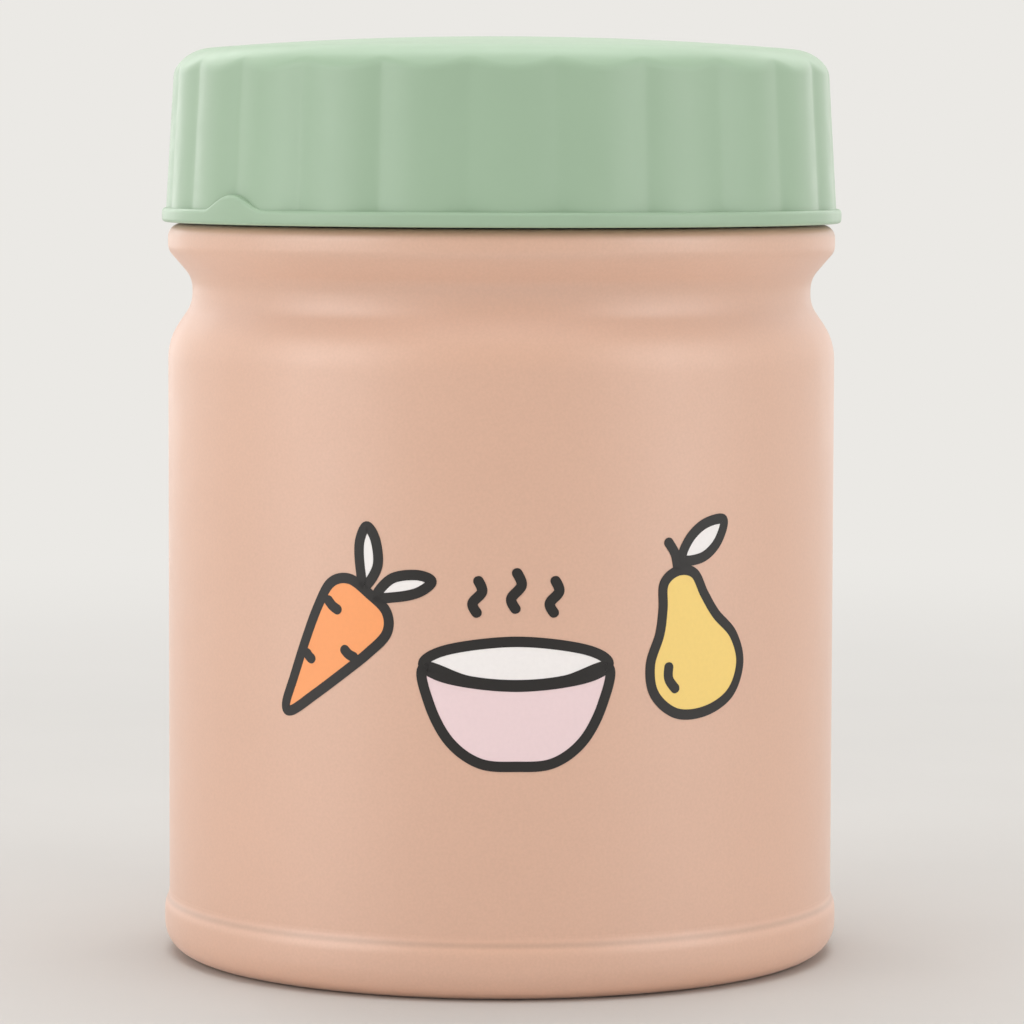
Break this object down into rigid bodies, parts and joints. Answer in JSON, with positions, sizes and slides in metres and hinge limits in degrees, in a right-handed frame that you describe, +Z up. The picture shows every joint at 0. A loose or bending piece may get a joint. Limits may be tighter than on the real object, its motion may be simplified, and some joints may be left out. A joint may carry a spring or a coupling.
{
  "type": "insulated food jar",
  "caption": "Food jar with a double vacuum wall, a grip groove under its shoulder and a lobed screw lid that lets the pressure out before it lifts off.",
  "frame": {"origin": "centre of the base ring, on the surface that the jar stands on", "axes": "+Z up along the jar's axis, -Y towards the front; the alignment bump on the lid's rim is 50.5 degrees from the front, towards -X"},
  "size_m": [0.0896, 0.0896, 0.1209],
  "materials": {
    "shell_paint": "satin",
    "bottle_steel": "satin",
    "port_glass": "gloss",
    "foil": "polished",
    "getter": "matte",
    "lid_plastic": "satin",
    "inner_lid_plastic": "satin",
    "valve_plastic": "satin",
    "silicone": "matte",
    "foam": "matte"
  },
  "bodies": {
    "jar": {"outer_shell": "shell_paint", "inner_bottle": "bottle_steel", "vacuum_base": "bottle_steel", "port_glass": "port_glass", "base_cover": "shell_paint", "foil_wrap": "foil", "foil_disc": "foil", "getter_cup": "bottle_steel", "getter_pellet": "getter"},
    "inner_lid": {"inner_lid_cover": "inner_lid_plastic", "inner_lid_cup": "inner_lid_plastic", "inner_lid_foam": "foam", "lid_gasket": "silicone"},
    "valve": {"valve_stem": "valve_plastic", "valve_gasket": "silicone"},
    "cap": {"lid_cap": "lid_plastic"}
  },
  "joints": [
    {"name": "lid_lift", "type": "slide", "parent": "jar", "child": "inner_lid", "axis": [0, 0, 1], "range_m": [0, 0.08]},
    {"name": "valve_rise", "type": "slide", "parent": "inner_lid", "child": "valve", "axis": [0, 0, 1], "range_m": [0, 0.0025]},
    {"name": "lid_turn", "type": "hinge", "parent": "valve", "child": "cap", "pos_m": [0, 0, 0.108], "axis": [0, 0, 1], "range_deg": [0, 100]}
  ],
  "couplings": [
    {"joint": "valve_rise", "follows": "lid_turn", "m_per_rad": 0.001432}
  ]
}
